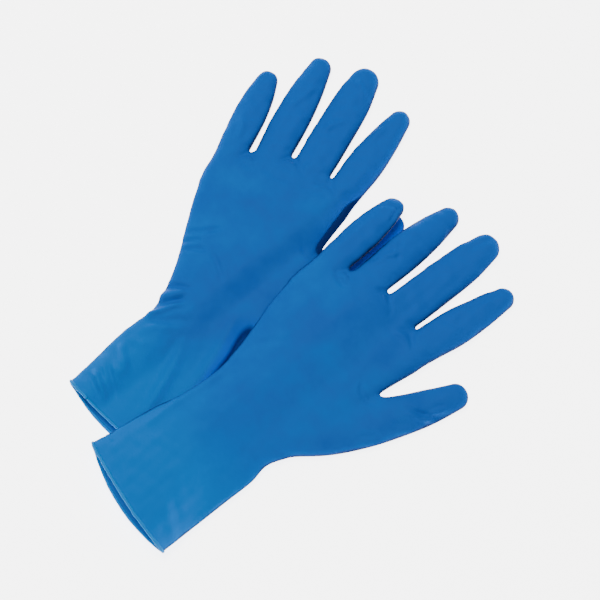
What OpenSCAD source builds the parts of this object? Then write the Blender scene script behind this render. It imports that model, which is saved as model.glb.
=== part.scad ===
// A pair of long-cuff rubber gloves, one laid across the other.
// Each glove is one hollow dipped skin with a rolled bead at the cuff. Its zones
// are separate nodes, joined where the skin bends: cuff, hand, thumb and fingers.
//
// Both gloves share one pattern. Its +y runs from the wrist to the fingertips and
// its +x points to the thumb side, with the wrist's middle at [0, 0].

/* [Glove] */
// Length of the cuff, from its rim to the wrist
cuff_l = 80; // [70:1:90]
// Thickness of the rubber skin
wall = 0.4; // [0.3:0.1:0.6]
// Diameter of the rolled bead round the cuff's rim
bead_d = 2.2; // [1.8:0.1:2.4]
// Height of the open cuff at its rim
mouth_h = 13; // [11:0.5:14]
// Height of the skin over the wrist
wrist_h = 11.5; // [10:0.5:13]
// Height of the skin over the palm
palm_h = 13; // [11:0.5:14]
// Height of the fingers at their roots
finger_h = 10; // [9:0.5:11]

/* [Fingers] */
// Length of the little finger beyond its web
little_l = 59; // [52:1:64]
// Length of the ring finger beyond its web
ring_l = 79; // [70:1:84]
// Length of the middle finger beyond its web
middle_l = 81; // [72:1:88]
// Length of the index finger beyond its web
index_l = 71; // [64:1:78]
// Length of the thumb beyond its web
thumb_l = 54; // [48:1:58]

/* [Layout] */
// Turn of the lower glove against the upper one, in degrees
lower_turn = 22; // [20:1:24]
// Bend of the lower glove's cuff at its wrist, in degrees
lower_cuff_bend = 8; // [6:1:10]
// Height that the upper glove is raised where it lies on the lower one
raise_h = 8.8; // [8.6:0.1:10]
// Height that is left to the lower glove under the upper one, as a share
pressed = 0.56; // [0.5:0.02:0.58]

/* [Hidden] */

LOWER = 0;
UPPER = 1;
THUMB = 0;
INDEX = 1;
MIDDLE = 2;
RING = 3;
LITTLE = 4;
skin_blue = [0, 0.42, 0.71];
bead_blue = [0.1, 0.52, 0.8];

// Where each glove's wrist lies on the surface, from the middle of the pair.
wrist_at = [[-16.13, -46.37], [46.37, -68.67]];
glove_turn = [lower_turn, 0];
cuff_bend = [lower_cuff_bend, 0];

// The outline of the cuff and the hand with its thumb: [y, left edge, right edge, height].
outline = [
    [-cuff_l, -46, 36, mouth_h], [-58, -43.3, 36, 12.5], [-33, -40, 36.2, 12],
    [-12, -35, 36.3, wrist_h], [0, -33.3, 34, wrist_h], [9, -33.3, 37.3, 12],
    [21, -34, 45.5, 12.3], [49, -39.8, 64.8, palm_h], [70, -46, 74.8, palm_h],
    [84, -48.8, 80.3, 12.4],
];
// The palm's own outline, from the thumb's web to the fingers': [y, left edge, right edge].
thumb_web = [45.5, 84];
palm_outline = [
    [84, -48.8, 45.5], [96, -50.8, 44], [114, -52.5, 47], [134.5, -53.4, 49.5],
];
hand_l = 134.5;
thumb_narrowing = 0.06;  // how much more of the width is the palm's at the wrist
// Where the webs divide the palm's width, from the little finger's side.
web_shares = [0, 0.224, 0.487, 0.771, 1];
web_depth = 2.4;       // height of the folded edge in a web
web_inset = 2;         // how far the skin's inner side stays behind a web
// The hand's far end bows forward, so the webs lie on an arc: its middle, and its rate.
web_mid_x = 10;
web_bow = 0.007;
// The cuff's rim leans to one side, and its lower layer reaches out further.
rim_lean = 0.093;
rim_bulge = 7;
rim_top_bulge = 2;
rim_mid_x = -5;
rim_half_w = 41;
rim_zone = 22;         // length of the cuff that takes part in the lean and the reach
rim_low_z = 4;         // the lower layer's points lie under this height

// The digits: [start inside the hand, bend point, tip, half width, tip's roundness].
digit_from = [[21, 15], [30.5, 90], [10.4, 100], [-17.2, 100], [-38.8, 92]];
digit_via = [[58, 63], [40.5, 150], [11.6, 150], [-18.2, 150], [-43.4, 140]];
digit_l = [thumb_l, index_l, middle_l, ring_l, little_l];
digit_w = [16, 12.7, 13.4, 12.4, 11.2];
digit_taper = [0.24, 0.02, 0, 0.01, 0.05];
digit_round = [7, 4.6, 6.5, 5.2, 6];
digit_fall = 0.12;     // how much lower a digit is at its tip, as a share
tip_round = 7;         // roundness of the tips, seen from the side
tip_share = 0.995;     // where the outer skin's last ring is, as a share of the digit
inner_tip_share = 0.978;
least_inner_h = 0.3;
least_inner_w = 0.15;
// Direction of each digit at its tip, in degrees from +y, and its web's middle.
digit_lean = [-15.5, -7.5, -1.3, 0.9, 3.9];
digit_web = [[64.5, 81], [38, 128.5], [11, 133.2], [-17.7, 128.5], [-42, 122]];
// Distance from a digit's web to the line where it bends.
knuckle = 10;

// Steps along and round each zone.
cuff_sides = 26;
digit_sides = 18;
bead_sides = 8;
across = 6;            // steps across one digit's width
wrist_steps = 8;
palm_steps = 6;
root_steps = 3;
cuff_steps = 7;
digit_steps = 10;
edge_share = 0.42;     // height of the folded edge, as a share of the whole height
top_power = 2.3;       // squareness of the upper half of a section
bottom_power = 3;      // squareness of the lower half
bottom_dip = 0.25;     // how far the lower half is cut off flat by the surface
digit_rise = 0.06;     // clearance under the digits, which only the palm presses down
seam = 0.35;           // clearance between zones that bend against each other

// --- small helpers ---------------------------------------------------------
function clamp01(t) = min(1, max(0, t));
function ease(t) = let(c = clamp01(t)) c * c * (3 - 2 * c);
function signed_power(v, p) = sign(v) * pow(abs(v), p);
function turned(p, a) = [p.x * cos(a) - p.y * sin(a), p.x * sin(a) + p.y * cos(a)];
function ahead(a) = [-sin(a), cos(a)];

// A smooth curve through a table's rows, for column c.
function slope(t, i, c) =
    let(a = max(i - 1, 0), b = min(i + 1, len(t) - 1))
    (t[b][c] - t[a][c]) / (t[b][0] - t[a][0]);
function row_of(t, y, i = 0) = i >= len(t) - 2 || y <= t[i + 1][0] ? i : row_of(t, y, i + 1);
function smooth(t, y, c) =
    let(
        i = row_of(t, y), span = t[i + 1][0] - t[i][0],
        s = (y - t[i][0]) / span, a = t[i][c], b = t[i + 1][c],
        da = slope(t, i, c) * span, db = slope(t, i + 1, c) * span
    )
    s < 0 ? a + s * da : s > 1 ? b + (s - 1) * db :
    a + s * (da + s * (3 * (b - a) - 2 * da - db + s * (da + db - 2 * (b - a))));

// --- how the gloves lie ------------------------------------------------------
// Right-hand edge of the lower glove under the upper one: [y, x].
covered_edge = [[-141, 52.5], [-73, 29.5], [-31, 30.5], [29, 28.5], [69, 24.5], [107, 11.5], [149, 1.5]];
raise_margin = 7;
raise_ramp = 30;
// The raised fingertips droop towards the surface.
droop_end = 141;
droop_ramp = 44;
// The lower glove is pressed down from this x on.
press_from = -31.1;
press_ramp = 18;
// A cuff bends from this y towards its rim.
bend_from = 6;
bend_ramp = 24;
function raise_at(p) =
    raise_h * ease((smooth(covered_edge, p.y, 1) + raise_margin + raise_ramp - p.x) / raise_ramp)
    * ease((droop_end - p.y) / droop_ramp);
function press_at(p) = 1 - (1 - pressed) * ease((p.x - press_from) / press_ramp);

// A pattern point on the surface, in the pair's own frame.
function cuff_bent(p, g) =
    let(a = cuff_bend[g] * ease((bend_from - p.y) / bend_ramp)) turned(p, -a);
function placed(p, g) = turned(cuff_bent(p, g), glove_turn[g]) + wrist_at[g];
// A point of the skin laid down: z is its height in a glove that lies on its own, h that
// glove's whole height there, and inset the point's depth inside the outer surface.
function laid(p, z, g, h, inset) =
    let(q = placed(p, g), squeeze = (h * press_at(q) - 2 * inset) / (h - 2 * inset))
    [q.x, q.y, g == UPPER ? z + raise_at(q) : inset + (z - inset) * squeeze];

// --- sections ------------------------------------------------------------------
// One ring of a flattened tube: middle m, direction a, half width w, height h.
function section(m, a, w, h, inset, sides) = [
    for (i = [0:sides - 1])
        let(
            phi = 360 * i / sides, c = cos(phi), s = sin(phi), up = s >= 0,
            n = up ? top_power : bottom_power, e = edge_share * h,
            x = (w - inset) * signed_power(c, 2 / n),
            reach = up ? h - inset - e : e - inset + bottom_dip * h,
            z = max(inset, e + reach * signed_power(s, 2 / n))
        )
        [m + x * turned([1, 0], a), z]
];

// The cuff's ring at y. Its first ring is the rim.
function rim_shift(x, z, y) =
    let(
        share = ease((rim_zone - y - cuff_l) / rim_zone), aside = x - rim_mid_x,
        t = aside / rim_half_w, bulge = z < rim_low_z ? rim_bulge : rim_top_bulge
    )
    share * (-rim_lean * aside - bulge * max(0, 1 - t * t));
function cuff_ring(y, inset, g) =
    let(
        l = smooth(outline, y, 1), r = smooth(outline, y, 2), h = smooth(outline, y, 3),
        ring = section([(l + r) / 2, 0], 0, (r - l) / 2, h, inset, cuff_sides)
    )
    [for (q = ring) laid([q[0].x, y + rim_shift(q[0].x, q[1], y)], q[1], g, h, inset)];

// A digit's middle line is a curve: straight beyond its web, drawn from inside the hand.
function digit_tip(d) = digit_web[d] + digit_l[d] * ahead(digit_lean[d]);
function digit_mid(d, t) =
    let(a = digit_from[d], b = digit_via[d], c = digit_tip(d))
    (1 - t) * (1 - t) * a + 2 * t * (1 - t) * b + t * t * c;
function digit_way(d, t) =
    let(v = (1 - t) * (digit_via[d] - digit_from[d]) + t * (digit_tip(d) - digit_via[d]))
    atan2(-v.x, v.y);
// The share of the middle line where a digit bends, by distance from its tip.
function knuckle_at(d, t = 1) =
    norm(digit_tip(d) - digit_mid(d, t)) >= digit_l[d] - knuckle ? t : knuckle_at(d, t - 0.005);
function digit_half(d, t) =
    digit_w[d] * (1 - digit_taper[d] * t) * sqrt(max(0, 1 - pow(t, digit_round[d])));
function digit_whole(t) = finger_h * (1 - digit_fall * t);
function digit_high(t) = digit_whole(t) * sqrt(max(0, 1 - pow(t, tip_round)));
function digit_ring(d, t, inset, g) =
    let(
        whole = digit_whole(t),
        h = max(digit_high(t), 2 * inset + least_inner_h),
        w = max(digit_half(d, t), inset + least_inner_w)
    )
    [for (q = section(digit_mid(d, t), digit_way(d, t), w, h, inset, digit_sides))
        laid(q[0], q[1] + (whole - h) * edge_share + digit_rise, g, whole, inset)];

// --- solids --------------------------------------------------------------------
// The faces between loops that follow each other, from point number first.
function side_faces(count, sides, first = 0) = [
    for (k = [0:count - 2], i = [0:sides - 1])
        let(a = first + k * sides + i, b = first + k * sides + (i + 1) % sides)
        each [[a, b, b + sides], [a, b + sides, a + sides]]
];
// A skin between outer and inner rings, open at its first ring, and at its last if through.
module skin(outer, inner, through = false) {
    sides = len(outer[0]);
    n = len(outer);
    m = len(inner);
    shift = n * sides;
    flipped = [for (f = side_faces(m, sides, shift)) [f[2], f[1], f[0]]];
    first_rim = [for (i = [0:sides - 1])
        let(j = (i + 1) % sides) each [[i, shift + i, shift + j], [i, shift + j, j]]];
    last_rim = [for (i = [0:sides - 1])
        let(j = (i + 1) % sides, a = (n - 1) * sides, b = shift + (m - 1) * sides)
        each [[a + i, a + j, b + j], [a + i, b + j, b + i]]];
    caps = [
        [for (i = [0:sides - 1]) (n - 1) * sides + i],
        [for (i = [sides - 1:-1:0]) shift + (m - 1) * sides + i],
    ];
    polyhedron(
        points = concat([for (r = outer) each r], [for (r = inner) each r]),
        faces = concat(side_faces(n, sides), flipped, first_rim, through ? last_rim : caps)
    );
}

// Steps that crowd towards the tip, where the outline turns fastest.
function digit_shares(from, to) =
    [for (k = [0:digit_steps]) from + (to - from) * sin(90 * k / digit_steps)];

module digit(d, g) {
    shares = digit_shares(knuckle_at(d), tip_share);
    inner_shares = digit_shares(knuckle_at(d), inner_tip_share);
    color(skin_blue) skin(
        [for (t = shares) digit_ring(d, t, 0, g)],
        [for (t = inner_shares) digit_ring(d, t, wall, g)]
    );
}

// --- the hand ----------------------------------------------------------------------
// The hand's skin is drawn as loops that run over the top and back underneath. The first
// loops hold the palm and the thumb; they part at the thumb's web, and again at the
// fingers' webs, so that every digit's root begins with its own share of the loop.
palm_n = 4 * across;
full_n = 5 * across;

// Share of the way across for column j: over the palm's width, then over the thumb's.
function within(i) = (1 - cos(180 * i / across)) / 2;
function palm_share(j) =
    let(k = min(3, floor(j / across)))
    web_shares[k] + (web_shares[k + 1] - web_shares[k]) * within(j - k * across);
// Height of the skin at u, from -1 to 1 across a section of height h.
function skin_z(u, h, inset, top) =
    let(
        n = top ? top_power : bottom_power, e = edge_share * h, flat = web_depth / 2,
        reach = top ? h - e - flat : e + bottom_dip * h - flat,
        out = flat + reach * pow(max(0, 1 - pow(abs(u), n)), 1 / n)
    )
    top ? e + out - inset : max(inset, e - out + inset);
function inward(x, l, r, inset) = (l + r) / 2 + (x - (l + r) / 2) * (1 - 2 * inset / (r - l));

// A point of the first loops, from the wrist to the thumb's web.
function full_flat(j, y, inset, top) =
    let(
        l = smooth(outline, y, 1), r = smooth(outline, y, 2), h = smooth(outline, y, 3),
        web_r = outline[len(outline) - 1][2],
        palm_part = (r - l) / (web_r - l) + thumb_narrowing * (1 - y / thumb_web.y),
        fork = l + (thumb_web.x - l) * min(1, palm_part),
        x = j <= palm_n ? l + (fork - l) * palm_share(j) : fork + (r - fork) * within(j - palm_n),
        u = (2 * x - l - r) / (r - l)
    )
    [inward(x, l, r, inset), y, skin_z(u, h, inset, top), h];
// The web line of the fingers.
function web_y(x, inset) =
    hand_l - web_bow * pow(x - web_mid_x, 2) - (inset > 0 ? web_inset : 0);
// A point of the palm, from the thumb's web (v = 0) to the fingers' webs (v = 1).
function palm_flat(j, v, inset, top) =
    v == 0 ? full_flat(j, thumb_web.y, inset, top) :
    let(
        k = min(3, floor(j / across)), share = palm_share(j),
        mid_y = thumb_web.y + (hand_l - thumb_web.y) * v,
        l = smooth(palm_outline, mid_y, 1), r = smooth(palm_outline, mid_y, 2),
        x = l + (r - l) * share,
        y = thumb_web.y + (web_y(x, inset) - thumb_web.y) * v,
        start = full_flat(j, thumb_web.y, inset, top),
        u = 2 * within(j - k * across) - 1,
        rest = skin_z(u, finger_h, inset, top), b = ease(v),
        h = start[3] + (finger_h - start[3]) * b
    )
    [inward(x, l, r, inset), y, start.z + (rest - start.z) * b, h];
// A point of a digit's root, from its web (v = 0) to its bending line (v = 1).
function root_flat(d, i, v, inset, top) =
    let(
        f = d == THUMB ? 4 : LITTLE - d,
        start = d == THUMB ? full_flat(palm_n + i, thumb_web.y, inset, top)
            : palm_flat(f * across + i, 1, inset, top),
        t = knuckle_at(d), a = digit_way(d, t), m = digit_mid(d, t) - seam * ahead(a),
        u = 2 * within(i) - 1, p = m + u * (digit_half(d, t) - inset) * turned([1, 0], a),
        z = skin_z(u, digit_high(t), inset, top)
    )
    [start.x + (p.x - start.x) * v, start.y + (p.y - start.y) * v,
        start.z + (z - start.z) * v, start[3] + (digit_high(t) - start[3]) * v];

// Closes a loop of n columns: over the top, then back underneath, and lays it down.
function over_and_under(top, bottom, inset, g) =
    [for (q = concat(top, [for (i = [len(bottom) - 1:-1:0]) bottom[i]]))
        laid([q.x, q.y], q.z, g, q[3], inset)];
function full_loop(y, inset, g) = over_and_under(
    [for (j = [0:full_n]) full_flat(j, y, inset, true)],
    [for (j = [0:full_n]) full_flat(j, y, inset, false)], inset, g);
function palm_loop(v, inset, g) = over_and_under(
    [for (j = [0:palm_n]) palm_flat(j, v, inset, true)],
    [for (j = [0:palm_n]) palm_flat(j, v, inset, false)], inset, g);
function root_loop(d, v, inset, g) = over_and_under(
    [for (i = [0:across]) root_flat(d, i, v, inset, true)],
    [for (i = [0:across]) root_flat(d, i, v, inset, false)], inset, g);

// The tubes that make up one side of the hand's skin, each a list of loops.
function hand_tubes(inset, g) = concat(
    [[for (k = [0:wrist_steps]) full_loop(thumb_web.y * k / wrist_steps, inset, g)]],
    [[for (k = [0:palm_steps]) palm_loop(k / palm_steps, inset, g)]],
    [for (d = [THUMB:LITTLE]) [for (k = [0:root_steps]) root_loop(d, k / root_steps, inset, g)]]
);
function total(v, i = 0) = i >= len(v) ? 0 : v[i] + total(v, i + 1);
function sizes(tubes) = [for (t = tubes) len(t) * len(t[0])];
function starts(tubes) =
    let(n = sizes(tubes))
    [for (i = [0:len(n) - 1]) total([for (k = [0:1:i - 1]) n[k]])];
function flat_list(tubes) = [for (t = tubes) for (loop = t) each loop];
function tube_faces(tubes, first) =
    let(at = starts(tubes))
    [for (i = [0:len(tubes) - 1]) each side_faces(len(tubes[i]), len(tubes[i][0]), first + at[i])];

module hand(g) {
    outer = hand_tubes(0, g);
    inner = hand_tubes(wall, g);
    shift = total(sizes(outer));
    at = starts(outer);
    wrist_n = len(outer[0][0]);
    root_n = 2 * across + 2;
    wrist_rim = [for (i = [0:wrist_n - 1])
        let(j = (i + 1) % wrist_n) each [[i, shift + i, shift + j], [i, shift + j, j]]];
    // The first two tubes are the wrist and the palm; the rest are the digits' roots.
    root_rims = [for (k = [2:len(at) - 1], i = [0:root_n - 1])
        let(a = at[k] + root_steps * root_n, j = (i + 1) % root_n, b = shift + a)
        each [[a + i, a + j, b + j], [a + i, b + j, b + i]]];
    color(skin_blue) polyhedron(
        points = concat(flat_list(outer), flat_list(inner)),
        faces = concat(
            tube_faces(outer, 0),
            [for (f = tube_faces(inner, shift)) [f[2], f[1], f[0]]],
            wrist_rim,
            root_rims
        )
    );
}

module cuff(g) {
    ys = [for (k = [0:cuff_steps]) -cuff_l + (cuff_l - seam) * k / cuff_steps];
    color(skin_blue) skin(
        [for (y = ys) cuff_ring(y, 0, g)],
        [for (y = ys) cuff_ring(y, wall, g)],
        through = true
    );
}

// The rolled bead: a round cord along the rim's loop.
module bead(g) {
    rim = cuff_ring(-cuff_l, wall / 2, g);
    n = len(rim);
    line = [for (q = rim) [q.x, q.y, max(q.z, bead_d / 2)]];
    mid = [for (i = 0, s = [0, 0, 0]; i <= n; s = s + line[min(i, n - 1)], i = i + 1) s][n] / n;
    rings = [for (i = [0:n - 1])
        let(
            along = line[(i + 1) % n] - line[(i + n - 1) % n],
            t = along / norm(along),
            o = line[i] - mid, flat = o - (o * t) * t, u = flat / norm(flat), w = cross(t, u)
        )
        [for (k = [0:bead_sides - 1])
            line[i] + bead_d / 2 * (cos(360 * k / bead_sides) * u + sin(360 * k / bead_sides) * w)]];
    color(bead_blue) polyhedron(
        points = [for (r = rings) each r],
        faces = [for (k = [0:n - 1], i = [0:bead_sides - 1])
            let(
                a = k * bead_sides + i, b = k * bead_sides + (i + 1) % bead_sides,
                c = ((k + 1) % n) * bead_sides + (i + 1) % bead_sides, e = ((k + 1) % n) * bead_sides + i
            )
            each [[a, b, c], [a, c, e]]]
    );
}

bead(LOWER);  // lower_bead
cuff(LOWER);  // lower_cuff
hand(LOWER);  // lower_hand
digit(THUMB, LOWER);  // lower_thumb
digit(INDEX, LOWER);  // lower_index
digit(MIDDLE, LOWER);  // lower_middle
digit(RING, LOWER);  // lower_ring
digit(LITTLE, LOWER);  // lower_little
bead(UPPER);  // upper_bead
cuff(UPPER);  // upper_cuff
hand(UPPER);  // upper_hand
digit(THUMB, UPPER);  // upper_thumb
digit(INDEX, UPPER);  // upper_index
digit(MIDDLE, UPPER);  // upper_middle
digit(RING, UPPER);  // upper_ring
digit(LITTLE, UPPER);  // upper_little
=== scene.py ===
"""A pair of long-cuff rubber gloves, laid one across the other on a pale surface.

Both gloves are the same dipped skin. The skin is modelled once, lying on its own, as a
smooth union of a flattened body and five flattened digits; then it is laid twice, with
its own folds each time, and cut into the zones that bend.

The pattern is in millimetres: +y runs from the wrist to the fingertips and +x points to
the thumb side. Everything that is laid is in metres, in the frame's own axes.
"""
import math

import bpy
import numpy as np
import openvdb
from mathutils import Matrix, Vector


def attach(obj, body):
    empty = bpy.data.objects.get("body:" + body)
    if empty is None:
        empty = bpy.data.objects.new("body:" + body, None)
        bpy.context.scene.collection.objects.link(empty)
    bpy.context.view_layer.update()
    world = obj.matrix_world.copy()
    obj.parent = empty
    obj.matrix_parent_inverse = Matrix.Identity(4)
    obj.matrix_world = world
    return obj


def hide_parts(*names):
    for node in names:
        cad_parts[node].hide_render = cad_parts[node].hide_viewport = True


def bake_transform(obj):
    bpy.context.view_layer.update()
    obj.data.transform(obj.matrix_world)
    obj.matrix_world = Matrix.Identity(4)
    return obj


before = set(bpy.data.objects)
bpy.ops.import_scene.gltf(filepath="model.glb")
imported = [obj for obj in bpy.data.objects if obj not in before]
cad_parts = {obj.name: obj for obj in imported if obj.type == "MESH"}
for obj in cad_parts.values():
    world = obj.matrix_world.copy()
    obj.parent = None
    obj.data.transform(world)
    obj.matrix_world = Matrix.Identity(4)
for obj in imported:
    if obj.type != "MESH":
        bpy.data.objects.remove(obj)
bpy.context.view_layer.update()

MM = 0.001
GLOVES = ("lower", "upper")
DIGITS = ("thumb", "index", "middle", "ring", "little")
LOWER, UPPER = 0, 1

# --- the pattern: sizes shared with the frame -----------------------------------------
CUFF_L = 80.0
HAND_L = 134.5
WALL = 0.4
BEAD_D = 2.2
FINGER_H = 10.0
RIM_LEAN = 0.093
RIM_BULGE = (7.0, 2.0)        # how far the rim's lower and upper layers reach out
RIM_MID_X = -5.0
RIM_HALF_W = 41.0
RIM_ZONE = 22.0               # length of the cuff that takes part in the lean and the reach
RIM_LOW_Z = (2.0, 7.0)        # all of the lower layer's reach below, all of the upper's above
EDGE_SHARE = 0.42             # height of the folded edge, as a share of the height
TOP_POWER, BOTTOM_POWER = 2.3, 3.0
BOTTOM_DIP = 0.25             # share of the height that the surface cuts off flat below
WEB_BOW = 0.007               # the hand's far end bows forward, so the webs lie on an arc
WEB_MID_X = 10.0
WEB_AHEAD = 1.0
END_ROUND = 16.0              # length over which the hand's far end rounds off
SEAM_TO_WEB = 10.0            # from a digit's web to the line where it bends
WEB_BLEND = (0.7, 1.6)        # how softly the skin runs from digit to digit, and to the thumb

# The body's outline: y, left edge, right edge, height.
OUTLINE = np.array([
    (-CUFF_L, -46, 36, 13), (-58, -43.3, 36, 12.5), (-33, -40, 36.2, 12),
    (-12, -35, 36.5, 11.5), (2, -33.3, 34.5, 11.5), (18, -33.6, 40, 12),
    (36, -36.5, 46, 13), (56, -42, 48.5, 13), (74, -47, 46, 13), (92, -50.3, 43.6, 13),
    (114, -52.5, 46.8, 11.5), (HAND_L, -53.4, 49.5, FINGER_H),
])
# Each digit: start inside the hand, bend point, web's middle, length, lean, and the half
# width at shares of the way from its start to its tip.
DIGIT = {
    "thumb": ((24, 22), (59, 65), (64.3, 81), 55, -15.5,
              ((0, 11), (0.25, 15.5), (0.5, 15), (0.66, 13.6), (0.84, 11.8), (1, 8.8))),
    "index": ((32.2, 92), (40.4, 150), (38.5, 128.5), 71.5, -7.2,
              ((0, 11.2), (0.3, 11.4), (0.42, 11.7), (0.6, 12.4), (0.8, 10.6), (1, 7.4))),
    "middle": ((11, 100), (11.4, 150), (11, 133.2), 81.5, -1.3,
               ((0, 7), (0.2, 11.6), (0.4, 13.2), (0.62, 13.4), (0.84, 12.8), (1, 9.8))),
    "ring": ((-16, 98), (-17.6, 150), (-17.2, 128.5), 79, 1.2,
             ((0, 7), (0.2, 10.4), (0.4, 12), (0.62, 12.3), (0.82, 10.8), (1, 7.8))),
    "little": ((-40.6, 92), (-43, 140), (-42.2, 122), 59, 3.9,
               ((0, 9.7), (0.25, 10), (0.4, 10.6), (0.65, 11.1), (0.84, 9.8), (1, 7.2))),
}

# --- how the pair lies: the same rules as the frame's ----------------------------------
WRIST_AT = np.array([(-16.13, -46.37), (46.37, -68.67)])
GLOVE_TURN = (22.0, 0.0)
CUFF_BEND = (8.0, 0.0)
RAISE_H = 8.8
RAISE_MARGIN, RAISE_RAMP = 7.0, 30.0
DROOP_END, DROOP_RAMP = 141.0, 44.0       # the raised fingertips droop to the surface
PRESSED = 0.56
PRESS_FROM, PRESS_RAMP = -31.1, 18.0
BEND_FROM, BEND_RAMP = 6.0, 24.0          # the stretch of a wrist over which its cuff bends
# The lower glove's covered edge: y, x.
COVERED_EDGE = np.array([
    (-141, 52.5), (-73, 29.5), (-31, 30.5), (29, 28.5), (69, 24.5), (107, 11.5), (149, 1.5),
])


def ease(t):
    c = np.clip(t, 0, 1)
    return c * c * (3 - 2 * c)


def turned(x, y, degrees):
    a = np.radians(degrees)
    return x * np.cos(a) - y * np.sin(a), x * np.sin(a) + y * np.cos(a)


def ahead(degrees):
    return np.array([-math.sin(math.radians(degrees)), math.cos(math.radians(degrees))])


def curve(table, y, column):
    """A smooth line through a table's rows, by the rows' own slopes."""
    ys, vs = table[:, 0], table[:, column]
    i = np.clip(np.searchsorted(ys, y) - 1, 0, len(ys) - 2)
    rows = np.arange(len(ys))
    before, after = np.maximum(rows - 1, 0), np.minimum(rows + 1, len(ys) - 1)
    slopes = (vs[after] - vs[before]) / (ys[after] - ys[before])
    span = ys[i + 1] - ys[i]
    s = (y - ys[i]) / span
    a, b, da, db = vs[i], vs[i + 1], slopes[i] * span, slopes[i + 1] * span
    inner = a + s * (da + s * (3 * (b - a) - 2 * da - db + s * (da + db - 2 * (b - a))))
    return np.where(s < 0, a + s * da, np.where(s > 1, b + (s - 1) * db, inner))


def placed(x, y, glove):
    """A pattern point's place on the surface, in millimetres."""
    bx, by = turned(x, y, -CUFF_BEND[glove] * ease((BEND_FROM - y) / BEND_RAMP))
    px, py = turned(bx, by, GLOVE_TURN[glove])
    return px + WRIST_AT[glove][0], py + WRIST_AT[glove][1]


def laid(points, glove):
    """Lays pattern points: the upper glove rises over the lower one, which is pressed."""
    px, py = placed(points[:, 0], points[:, 1], glove)
    z = points[:, 2]
    if glove == UPPER:
        edge = curve(COVERED_EDGE, py, 1)
        near = ease((edge + RAISE_MARGIN + RAISE_RAMP - px) / RAISE_RAMP)
        z = z + RAISE_H * near * ease((DROOP_END - py) / DROOP_RAMP)
    else:
        z = z * (1 - (1 - PRESSED) * ease((px - PRESS_FROM) / PRESS_RAMP))
    return np.stack([px, py, z], 1)


def rim_shifted(points):
    """The rim leans to one side, and its lower layer reaches out past the upper one."""
    x, y, z = points.T
    share = ease((RIM_ZONE - y - CUFF_L) / RIM_ZONE)
    aside = x - RIM_MID_X
    t = aside / RIM_HALF_W
    low = ease((RIM_LOW_Z[1] - z) / (RIM_LOW_Z[1] - RIM_LOW_Z[0]))
    bulge = RIM_BULGE[1] + (RIM_BULGE[0] - RIM_BULGE[1]) * low
    out = points.copy()
    out[:, 1] += share * (-RIM_LEAN * aside - bulge * np.maximum(0, 1 - t * t))
    return out


# --- the skin, drawn as a field that is negative inside ---------------------------------
CELL = 0.8                    # spacing of the grid that the skin is drawn on
GRID_X = (-60, 100)
GRID_Y = (-CUFF_L - 10 * CELL, 222)
GRID_Z = (-3 * CELL, 17)
FIELD_REACH = 3.0             # the field is cut off this far from the skin
BODY_DEPTH, DIGIT_DEPTH = 5.5, 5.0        # half depths that set the field's own scale
DIGIT_SWELL, DIGIT_FALL = 1.04, 0.16      # a digit's height at its root, and its fall
RELAX_ROUNDS, RELAX_AMOUNT = 6, 0.5


def bulge_field(u, z, height, scale):
    """A flattened round form: u is 0 at its middle line and 1 at its edge."""
    edge = EDGE_SHARE * height
    up = z >= edge
    v = np.where(up, (z - edge) / (height - edge), (edge - z) / (edge + BOTTOM_DIP * height))
    n = np.where(up, TOP_POWER, BOTTOM_POWER)
    return ((np.maximum(u, 0) ** n + v ** n) ** (1 / n) - 1) * scale


def smooth_union(a, b, k):
    h = np.maximum(k - np.abs(a - b), 0) / k
    return np.minimum(a, b) - h * h * k / 4


def digit_line(name, count=90):
    """Points down a digit's middle, its half width and share at each, and its tip."""
    start, via, web, length, lean, widths = DIGIT[name]
    tip = np.array(web) + length * ahead(lean)
    t = np.linspace(0, 1, count)[:, None]
    line = (1 - t) ** 2 * np.array(start) + 2 * t * (1 - t) * np.array(via) + t ** 2 * tip
    table = np.array(widths, float)
    # The last round ends at the tip, so the line stops short by its radius.
    line = line[np.linalg.norm(line - line[-1], axis=1) >= widths[-1][1]]
    share = np.linspace(0, 1, len(line))
    return line, curve(table, share, 1), share, tip


def digit_field(name, x, y, z):
    line, half, share, _ = digit_line(name)
    best = np.full(x.shape, 1e9)
    radius = np.ones(x.shape)
    along = np.zeros(x.shape)
    for (cx, cy), r, s in zip(line, half, share):
        d = np.hypot(x - cx, y - cy) - r
        nearer = d < best
        best = np.where(nearer, d, best)
        radius = np.where(nearer, r, radius)
        along = np.where(nearer, s, along)
    u = (1 + best / radius)[..., None]
    height = (FINGER_H * (DIGIT_SWELL - DIGIT_FALL * along ** 2))[..., None]
    return bulge_field(u, z, height, DIGIT_DEPTH)


def body_field(x, y, z):
    left, right, high = (curve(OUTLINE, y, c) for c in (1, 2, 3))
    half = (right - left) / 2
    side = np.abs(x - (left + right) / 2) / half
    far = HAND_L + WEB_AHEAD - WEB_BOW * (x - WEB_MID_X) ** 2
    end = np.maximum(0, 1 + (y - far) / END_ROUND)
    u = (side ** 4 + end ** 4) ** 0.25
    return bulge_field(u[..., None], z, high[..., None], BODY_DEPTH)


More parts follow.
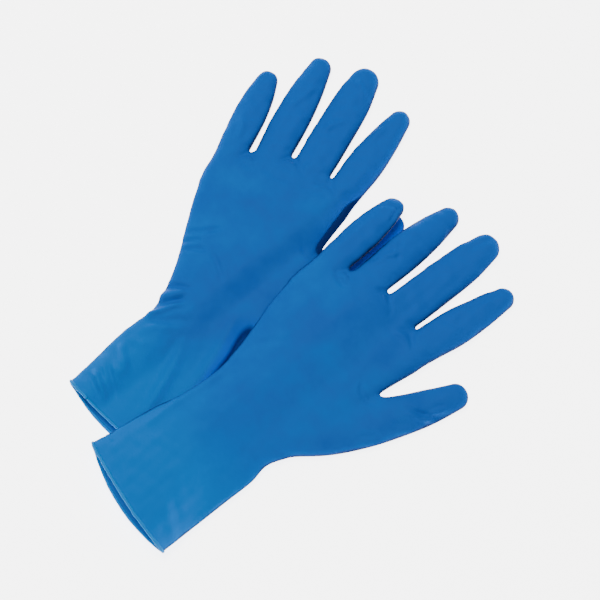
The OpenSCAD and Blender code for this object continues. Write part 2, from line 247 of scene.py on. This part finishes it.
def draw_skin():
    """The whole glove as quads in pattern millimetres, open at the cuff's rim."""
    xs, ys, zs = (np.arange(*reach, CELL) for reach in (GRID_X, GRID_Y, GRID_Z))
    x, y = np.meshgrid(xs, ys, indexing="ij")
    z = zs[None, None, :]
    field = body_field(x, y, z)
    for name in DIGITS:
        field = smooth_union(field, digit_field(name, x, y, z), WEB_BLEND[name == "thumb"])
    field = np.maximum(field, -z)
    field = np.clip(field, -FIELD_REACH, FIELD_REACH).astype(np.float32)
    for face in (0, -1):
        field[face] = field[:, face] = field[:, :, face] = FIELD_REACH
    grid = openvdb.FloatGrid(FIELD_REACH)
    grid.copyFromArray(field)
    points, quads = grid.convertToQuads(isovalue=0.0)
    points = np.array(points, float) * CELL + np.array([xs[0], ys[0], zs[0]])
    quads = np.array(quads, int)
    middle = points[quads].mean(1)
    quads = quads[middle[:, 1] > -CUFF_L]
    used, index = np.unique(quads, return_inverse=True)
    return points[used], index.reshape(quads.shape)


def vertex_normals(points, quads):
    a, b, c, d = (points[quads[:, k]] for k in range(4))
    n = np.cross(c - a, d - b)
    total = np.zeros_like(points)
    for k in range(4):
        np.add.at(total, quads[:, k], n)
    return total / np.maximum(np.linalg.norm(total, axis=1, keepdims=True), 1e-12)


def relaxed(points, quads, rounds, amount):
    """Evens the skin out, leaving the rim's loop where it is."""
    count = len(points)
    pairs = np.concatenate([quads[:, [k, (k + 1) % 4]] for k in range(4)])
    keys = np.sort(pairs, 1)
    _, inverse, uses = np.unique(keys, axis=0, return_inverse=True, return_counts=True)
    rim = np.zeros(count, bool)
    rim[keys[uses[inverse.ravel()] == 1].ravel()] = True
    degree = np.bincount(pairs.ravel(), minlength=count)[:, None]
    p = points.copy()
    for _ in range(rounds):
        total = np.zeros_like(p)
        np.add.at(total, pairs[:, 0], p[pairs[:, 1]])
        np.add.at(total, pairs[:, 1], p[pairs[:, 0]])
        moved = p + amount * (total / degree - p)
        p = np.where(rim[:, None], p, moved)
    return p


# --- folds -------------------------------------------------------------------------------
# A fold is a line on the pattern: from, to, how far it bows, its width and its depth.
# A fold with a negative depth is a ridge. A fold wider than WIDE_FOLD has no raised lips.
WIDE_FOLD = 4.8
FOLD_FADE = 0.3               # share of a fold's length over which each end fades
LIP_AT, LIP_SHARE = 1.9, 0.42             # a lip's place in widths, and its share of the depth
LEAST_Z = 2.2                 # the upper layer stays this far above the surface
WIDE_WAVES, WIDE_SLACK = (46, 38, 29, 23, 18, 15), 0.24
FINE_WAVES, FINE_SLACK = (14, 11, 9, 7), 0.3
WIDE_SEED, FINE_SEED = 11, 31
PALM_FINE, FINGER_FINE, CUFF_FINE = 0.3, 0.7, 0.5
FINGER_FROM, CUFF_FROM, FINE_RAMP = 105.0, 20.0, 30.0
FACING_FROM, FACING_RAMP = -0.15, 0.7     # how far up the skin has to face to be folded
FOLDS = {
    "both": [
        ((-37, 117), (-21, 113), -1, 2.4, 0.5),
        ((-20, 117), (7, 119), -2, 2.6, 0.45),
        ((6, 118), (30, 124), -2, 2.4, 0.4),
        ((-36, 116), (-22, 117), 4, 2.2, 0.9),
        ((-11, 127), (6, 127), 5, 2.2, 0.9),
        ((16, 122), (37, 122), 5, 2.2, 0.9),
        ((29, 85), (50, 82), -5, 2, 0.7),
        ((3, 133), (10, 123), 0, 1.5, 0.35),
    ],
    "upper": [
        ((-52, 164), (-42, 175), 2, 1.5, 0.6),
        ((-43, 178), (-37, 163), -1, 1.5, 0.8),
        ((-28, 166), (-27, 190), 1, 2, 0.6),
        ((-24, 135), (-18, 160), 1, 1.8, -0.7),
        ((-14, 150), (-26, 163), 0, 1.6, 0.6),
        ((7, 192), (12, 214), 1, 2, 0.5),
        ((38, 174), (44, 195), 1, 2, 0.5),
        ((62, 90), (82, 104), 1, 1.8, -0.8),
        ((64, 95), (82, 109), -1, 1.7, 1.0),
        ((76, 96), (81, 118), 2, 1.7, -0.9),
        ((64, 80), (77, 94), 1, 2.4, 0.8),
        ((56, 57), (68, 72), 1, 2.2, 0.6),
        ((-30, 133), (-15, 154), 1, 1.5, 0.35),
        ((-39, 118), (-19, 115), -2, 2, 0.4),
        ((-33, 42), (-14, 69), 0, 2.2, 0.25),
        ((-33, -56), (-28, 30), 2, 2.4, -0.9),
        ((8, -60), (40, -73), 0, 2.6, -0.8),
        ((4, -68), (23, -18), 2, 4, 0.3),
        ((-47, -68), (-37, -64), 0, 1.5, -0.5),
        ((24, 8), (40, 17), 0, 2, 0.5),
        ((22, -4), (37, 1), 0, 2.4, 0.5),
    ],
    "lower": [
        ((6, 201), (20, 191), 2, 2, -0.6),
        ((6, 157), (16, 173), 2, 2, -0.7),
        ((-23, 162), (-14, 187), -1, 2, -0.6),
        ((37, 167), (41, 183), 1, 2, -0.6),
        ((-46, 142), (-42, 124), 1, 2, -0.6),
        ((-35, 14), (-16, 22), 1, 1.7, 1.0),
        ((-35, 7), (-18, 19), 0, 2.8, -1.3),
        ((-36, 1), (-16, 15), 0, 1.7, 1.2),
        ((-35, -11), (-15, 13), 1, 1.8, -1.2),
        ((-36, -20), (-4, 5), 2, 3, 1.3),
        ((5, -74), (-7, 2), -3, 3.2, -2.2),
        ((12, -68), (4, 14), -4, 4.5, 1.8),
        ((21, -30), (18, 30), 2, 3, -1.7),
        ((29, -44), (29, 30), -2, 6.4, 9.5),
        ((-20, 51), (-1, 35), 1, 1.8, 0.7),
        ((-39, 41), (-20, 49), 1, 1.8, 0.8),
        ((-42, 53), (-17, 69), -1, 1.8, 0.8),
        ((-41, 45), (-27, 55), 0, 1.6, 0.7),
        ((-40, -60), (-17, -73), 0, 2.2, -1.9),
        ((-35, -51), (-13, -68), 0, 2, 1.4),
        ((-36, -35), (-20, -49), -1, 2.4, -1.2),
        ((-33, -30), (-10, -52), 1, 4, 0.8),
        ((50, 136), (43, 72), 2, 8, 6),
    ],
}


def fold_depth(x, y, fold):
    (ax, ay), (bx, by), bow, width, depth = fold
    length = math.hypot(bx - ax, by - ay)
    ux, uy = (bx - ax) / length, (by - ay) / length
    s = ((x - ax) * ux + (y - ay) * uy) / length
    side = (x - ax) * -uy + (y - ay) * ux - 4 * bow * s * (1 - s)
    fade = ease(s / FOLD_FADE) * ease((1 - s) / FOLD_FADE)
    valley = np.exp(-(side / width) ** 2)
    if width > WIDE_FOLD:
        return -depth * fade * valley
    lips = sum(np.exp(-(side / width + k * LIP_AT) ** 2) for k in (-1, 1))
    return depth * fade * (LIP_SHARE * lips - valley)


def slack(x, y, wavelengths, seed):
    """Unevenness of a thin skin that lies loose."""
    rng = np.random.default_rng(seed)
    total = np.zeros_like(x)
    waves = 3                 # of each length
    for wavelength in wavelengths:
        for _ in range(waves):
            a, phase = rng.uniform(0, math.pi), rng.uniform(0, 2 * math.pi)
            k = 2 * math.pi / wavelength
            total += wavelength * np.sin(k * (x * math.cos(a) + y * math.sin(a)) + phase)
    return total / max(wavelengths) / waves


def folded(points, quads, glove):
    """The skin with its folds, and how deep each point has sunk."""
    x, y = points[:, 0], points[:, 1]
    n = vertex_normals(points, quads)
    up = ease((n[:, 2] - FACING_FROM) / FACING_RAMP)
    # The palm is smoother than the fingers and the cuff.
    fine = PALM_FINE + FINGER_FINE * ease((y - FINGER_FROM) / FINE_RAMP)
    fine = fine + CUFF_FINE * ease((CUFF_FROM - y) / FINE_RAMP)
    amount = WIDE_SLACK * slack(x, y, WIDE_WAVES, WIDE_SEED + glove)
    amount = amount + FINE_SLACK * fine * slack(x, y, FINE_WAVES, FINE_SEED + glove)
    for fold in FOLDS["both"] + FOLDS[GLOVES[glove]]:
        amount = amount + fold_depth(x, y, fold)
    moved = points + n * (up * amount)[:, None]
    top = n[:, 2] > 0
    moved[top, 2] = np.maximum(moved[top, 2], np.minimum(points[top, 2], LEAST_Z))
    return moved, -up * amount


# --- materials -----------------------------------------------------------------------------
def node(tree, kind, **inputs):
    made = tree.nodes.new(kind)
    for key, value in inputs.items():
        made.inputs[key.replace("_", " ")].default_value = value
    return made


def rubber(name, dark, light, cuff, finger, edge, roughness, bump):
    """Dipped rubber: satin and faintly mottled, with its own colour at the cuff and fingers, and a
    darker colour painted on as shade at edges and in deep folds.
    """
    material = bpy.data.materials.new(name)
    material.use_nodes = True
    tree = material.node_tree
    shader = tree.nodes["Principled BSDF"]
    shader.inputs["Roughness"].default_value = roughness
    shader.inputs["Specular IOR Level"].default_value = 0.05
    place = tree.nodes.new("ShaderNodeTexCoord")
    cloudy = node(tree, "ShaderNodeTexNoise", Scale=38.0, Detail=3.0, Roughness=0.55)
    fine = node(tree, "ShaderNodeTexNoise", Scale=1400.0, Detail=2.0, Roughness=0.5)
    for texture in (cloudy, fine):
        tree.links.new(place.outputs["Object"], texture.inputs["Vector"])
    mottle = tree.nodes.new("ShaderNodeValToRGB")
    for end, position, colour in zip(mottle.color_ramp.elements, (0.32, 0.7), (dark, light)):
        end.position = position
        end.color = (*colour, 1)
    tree.links.new(cloudy.outputs["Fac"], mottle.inputs["Fac"])
    last = mottle.outputs["Color"]
    # Painted shade: the last of these colours darkens the skin where it turns over at its edges and
    # where it sinks into deep folds.
    for attribute, colour in (("cuff_share", cuff), ("finger_share", finger), ("edge_share", edge)):
        share = tree.nodes.new("ShaderNodeAttribute")
        share.attribute_name = attribute
        mix = tree.nodes.new("ShaderNodeMix")
        mix.data_type = "RGBA"
        mix.inputs[7].default_value = (*colour, 1)
        tree.links.new(share.outputs["Fac"], mix.inputs[0])
        tree.links.new(last, mix.inputs[6])
        last = mix.outputs[2]
    tree.links.new(last, shader.inputs["Base Color"])
    relief = node(tree, "ShaderNodeBump", Strength=bump, Distance=0.0004)
    tree.links.new(fine.outputs["Fac"], relief.inputs["Height"])
    tree.links.new(relief.outputs["Normal"], shader.inputs["Normal"])
    return material


def linear(*srgb):
    """Screen colours, 0 to 255, as the shader's own values."""
    c = np.array(srgb) / 255
    return tuple(float(v) for v in np.where(c <= 0.04045, c / 12.92, ((c + 0.055) / 1.055) ** 2.4))


# In both rubbers, edge is a painted shade colour for turned-over edges and deep folds; the bead's
# share of it is nil.
SKIN = rubber(
    "dipped_rubber", dark=linear(0, 80, 164), light=linear(0, 92, 176),
    cuff=linear(0, 102, 182), finger=linear(0, 84, 170), edge=linear(0, 26, 82),
    roughness=0.6, bump=0.12,
)
BEAD = rubber(
    "rolled_rubber", dark=linear(0, 106, 178), light=linear(0, 120, 192),
    cuff=linear(0, 122, 194), finger=linear(0, 104, 178), edge=linear(0, 50, 120),
    roughness=0.45, bump=0.1,
)


# --- pieces ----------------------------------------------------------------------------------
def make_piece(name, points, faces, normals, shares, material):
    """A mesh piece in metres, smooth, with the whole skin's normals."""
    mesh = bpy.data.meshes.new(name)
    mesh.from_pydata((points * MM).tolist(), [], faces.tolist())
    mesh.polygons.foreach_set("use_smooth", [True] * len(mesh.polygons))
    for key, values in shares.items():
        layer = mesh.attributes.new(key, "FLOAT", "POINT")
        layer.data.foreach_set("value", np.asarray(values, np.float32))
    if normals is not None:
        mesh.normals_split_custom_set_from_vertices(normals.tolist())
    mesh.materials.append(material)
    piece = bpy.data.objects.new(name, mesh)
    bpy.context.scene.collection.objects.link(piece)
    return piece


def seam_of(name):
    """A digit's bending line on the pattern: its middle and the way to the tip."""
    line, _, _, tip = digit_line(name)
    from_tip = np.linalg.norm(line - tip, axis=1)
    i = int(np.argmin(np.abs(from_tip - (DIGIT[name][3] - SEAM_TO_WEB))))
    way = line[i + 1] - line[i - 1]
    return line[i], way / np.linalg.norm(way)


BLEND_START, BLEND_END = 7.0, 25.0   # the zone that bends, ahead of a digit's seam
CUFF_BLEND = (10.0, -24.0)           # the same at the wrist, as pattern heights
SPARE = 1.6                          # a piece starts this far before its zone
THUMB_FROM = 60.0                    # nothing nearer the wrist than this is a digit's
DIGIT_REACH = 2.0                    # nor anything further than this from every digit
# Where each colour starts and over how much it comes in: along the pattern for the cuff and the
# fingers;
# by how flat the skin lies for the painted shade at its edges, and by how far it has sunk for the
# painted shade in deep folds.
CUFF_TINT, FINGER_TINT = (20.0, 70.0), (95.0, 60.0)
EDGE_SHADE, SUNK_SHADE = (0.86, 0.6), (2.5, 4.0)
SUNK_SHADE_MOST = 0.9
BEAD_STEPS, BEAD_SIDES = 260, 14
BEAD_ROUNDS = 6                      # of smoothing
BEAD_CLEAR = 0.02
BEAD_SEED = 5


def zone_of_faces(points, quads):
    """The name of the zone that each face belongs to: past the webs, its nearest digit."""
    middle = points[quads].mean(1)
    zone = np.full(len(quads), "hand", dtype="<U8")
    zone[middle[:, 1] < CUFF_BLEND[0] + SPARE] = "cuff"
    nearest = np.full(len(quads), 1e9)
    digit = np.full(len(quads), "hand", dtype="<U8")
    ahead_by = np.zeros(len(quads))
    for name in DIGITS:
        at, way = seam_of(name)
        line, half, _, _ = digit_line(name, 40)
        gap = np.full(len(quads), 1e9)
        for place, r in zip(line, half):
            gap = np.minimum(gap, np.linalg.norm(middle[:, :2] - place, axis=1) - r)
        closer = gap < nearest
        nearest = np.where(closer, gap, nearest)
        digit = np.where(closer, name, digit)
        ahead_by = np.where(closer, (middle[:, :2] - at) @ way, ahead_by)
    far = (ahead_by > BLEND_START - SPARE) & (middle[:, 1] > THUMB_FROM) & (nearest < DIGIT_REACH)
    zone[far] = digit[far]
    return zone


def lay_point(x, y, z, glove):
    return laid(np.array([[x, y, z]], float), glove)[0] * MM


def build_bead(glove, rim, place):
    """The rolled rim: a cord along the skin's rim, in order round the mouth."""
    share = (place - place.min(0)) / np.ptp(place, axis=0) - 0.5
    angle = np.arctan2(share[:, 2], share[:, 0])
    order = np.argsort(angle)
    loop = np.concatenate([rim[order], rim[order][:1]])
    gone = np.concatenate([[0], np.cumsum(np.linalg.norm(np.diff(loop, axis=0), axis=1))])
    at = np.linspace(0, gone[-1], BEAD_STEPS, endpoint=False)
    line = np.stack([np.interp(at, gone, loop[:, k]) for k in range(3)], 1)
    phi = at / gone[-1] * 2 * math.pi
    line[:, 2] = np.maximum(line[:, 2], BEAD_D / 2)
    for _ in range(BEAD_ROUNDS):
        line = 0.5 * line + 0.25 * (np.roll(line, 1, 0) + np.roll(line, -1, 0))
    along = np.roll(line, -1, 0) - np.roll(line, 1, 0)
    along /= np.linalg.norm(along, axis=1, keepdims=True)
    out = line - line.mean(0)
    out -= along * (out * along).sum(1, keepdims=True)
    out /= np.linalg.norm(out, axis=1, keepdims=True)
    third = np.cross(along, out)
    rng = np.random.default_rng(BEAD_SEED + glove)
    uneven = 0.05 * np.sin(9 * phi + rng.uniform(0, 6)) + 0.04 * np.sin(23 * phi)
    radius = (BEAD_D / 2 * (1 + uneven))[:, None, None]
    psi = np.linspace(0, 2 * math.pi, BEAD_SIDES, endpoint=False)[None, :, None]
    ring = np.cos(psi) * out[:, None] + np.sin(psi) * third[:, None]
    points = line[:, None] + radius * ring
    k, i = np.meshgrid(np.arange(BEAD_STEPS), np.arange(BEAD_SIDES), indexing="ij")
    this, following = k * BEAD_SIDES, (k + 1) % BEAD_STEPS * BEAD_SIDES
    i2 = (i + 1) % BEAD_SIDES
    faces = np.stack([this + i, this + i2, following + i2, following + i], -1).reshape(-1, 4)
    points = points.reshape(-1, 3)
    points[:, 2] = np.maximum(points[:, 2], BEAD_CLEAR)
    none = np.zeros(len(points))
    shares = {"cuff_share": none + 0.5, "finger_share": none, "edge_share": none}
    piece = make_piece(GLOVES[glove] + "_rolled_bead", points, faces, None, shares, BEAD)
    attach(piece, GLOVES[glove] + "_cuff")
    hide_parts(GLOVES[glove] + "_bead")


def build_glove(glove, pattern, quads):
    side = GLOVES[glove]
    shaped, sunk = folded(pattern, quads, glove)
    points = laid(rim_shifted(shaped), glove)
    points[:, 2] = np.maximum(points[:, 2], 0.0)
    normals = vertex_normals(points, quads)
    y = pattern[:, 1]
    cuff_share = ease((CUFF_TINT[0] - y) / CUFF_TINT[1])
    finger_share = ease((y - FINGER_TINT[0]) / FINGER_TINT[1])
    # Painted shade: a darker colour is laid on where the skin turns over at an edge, and where it
    # has sunk deep in a fold.
    flat = np.abs(vertex_normals(pattern, quads)[:, 2])
    edge_share = ease((EDGE_SHADE[0] - flat) / EDGE_SHADE[1])
    deep_fold_shade = SUNK_SHADE_MOST * ease((sunk - SUNK_SHADE[0]) / SUNK_SHADE[1])
    edge_share = np.maximum(edge_share, deep_fold_shade)
    zones = zone_of_faces(pattern, quads)
    for zone in ("hand", "cuff") + DIGITS:
        part = quads[zones == zone]
        used, index = np.unique(part, return_inverse=True)
        faces = index.reshape(part.shape)
        p, n = points[used], normals[used]
        shares = {
            "cuff_share": cuff_share[used],
            "finger_share": finger_share[used],
            "edge_share": edge_share[used],
        }
        if zone == "cuff":
            p, n, faces, shares = with_inner_wall(p, n, faces, shares)
        piece = make_piece(f"{side}_{zone}_skin", p, faces, n, shares, SKIN)
        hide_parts(f"{side}_{zone}")
        hand = side + "_hand"
        if zone == "hand":
            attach(piece, hand)
        elif zone == "cuff":
            start, end = (lay_point(0, CUFF_BLEND[k], 0, glove) for k in (0, 1))
            start[2] = end[2] = 0
            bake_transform(piece)
        else:
            at, way = seam_of(zone)
            start, end = (lay_point(*(at + way * d), 0, glove) for d in (BLEND_START, BLEND_END))
            start[2] = end[2] = 0
            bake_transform(piece)
    rim = pattern[:, 1] < -CUFF_L + 0.6 * CELL
    build_bead(glove, points[rim], pattern[rim])


def with_inner_wall(points, normals, faces, shares):
    """Adds the skin's inner side, one wall's thickness in."""
    count = len(points)
    inner = points - normals * WALL
    inner[:, 2] = np.maximum(inner[:, 2], 0.0)
    faces = np.concatenate([faces, faces[:, ::-1] + count])
    doubled = {key: np.concatenate([v, v]) for key, v in shares.items()}
    return np.concatenate([points, inner]), np.concatenate([normals, -normals]), faces, doubled


skin, skin_quads = draw_skin()
if (vertex_normals(skin, skin_quads) * (skin - skin.mean(0)))[:, 2].sum() < 0:
    skin_quads = skin_quads[:, ::-1]      # so that the faces look outward
skin = relaxed(skin, skin_quads, RELAX_ROUNDS, RELAX_AMOUNT)
for glove in (LOWER, UPPER):
    build_glove(glove, skin, skin_quads)


# --- surface, light and camera ------------------------------------------------------------
def build_floor():
    bpy.ops.mesh.primitive_plane_add(size=30, location=(0, 0, 0))
    floor = bpy.context.object
    floor.name = "floor"
    material = bpy.data.materials.new("pale_floor")
    material.use_nodes = True
    shader = material.node_tree.nodes["Principled BSDF"]
    shader.inputs["Base Color"].default_value = (0.9, 0.9, 0.9, 1)
    shader.inputs["Emission Color"].default_value = (1, 1, 1, 1)
    shader.inputs["Emission Strength"].default_value = 5.0
    shader.inputs["Roughness"].default_value = 0.8
    floor.data.materials.append(material)


def area_light(name, place, size, watts, target=(0, 0, 0)):
    light = bpy.data.lights.new(name, "AREA")
    light.energy, light.size = watts, size
    lamp = bpy.data.objects.new(name, light)
    bpy.context.scene.collection.objects.link(lamp)
    lamp.location = place
    lamp.rotation_mode = "QUATERNION"
    lamp.rotation_quaternion = (Vector(target) - Vector(place)).to_track_quat("-Z", "Y")


def build_light():
    world = bpy.data.worlds.new("studio")
    bpy.context.scene.world = world
    world.use_nodes = True
    world.node_tree.nodes["Background"].inputs["Color"].default_value = (1, 1, 1, 1)
    world.node_tree.nodes["Background"].inputs["Strength"].default_value = 0.22
    # Image left is (-0.63, -0.78) and image up is (-0.78, 0.63) on the surface.
    area_light("key", (-0.5, 0.12, 1.6), 0.7, 29)
    area_light("fill", (0.6, -0.3, 1.5), 1.2, 4)


CAMERA_AZIMUTH, CAMERA_ELEVATION = 51.0, 77.0
CAMERA_DISTANCE = 1.1
LOOK_AT = (0.00837, 0.01933, 0.0)


def build_camera():
    data = bpy.data.cameras.new("camera")
    data.lens, data.sensor_width = 100, 36
    camera = bpy.data.objects.new("camera", data)
    bpy.context.scene.collection.objects.link(camera)
    a, e = math.radians(CAMERA_AZIMUTH), math.radians(CAMERA_ELEVATION)
    back = Vector((math.sin(a) * math.cos(e), -math.cos(a) * math.cos(e), math.sin(e)))
    camera.location = Vector(LOOK_AT) + back * CAMERA_DISTANCE
    camera.rotation_mode = "QUATERNION"
    camera.rotation_quaternion = (-back).to_track_quat("-Z", "Y")
    data.clip_start, data.clip_end = 0.01, 100
    bpy.context.scene.camera = camera


build_floor()
build_light()
build_camera()
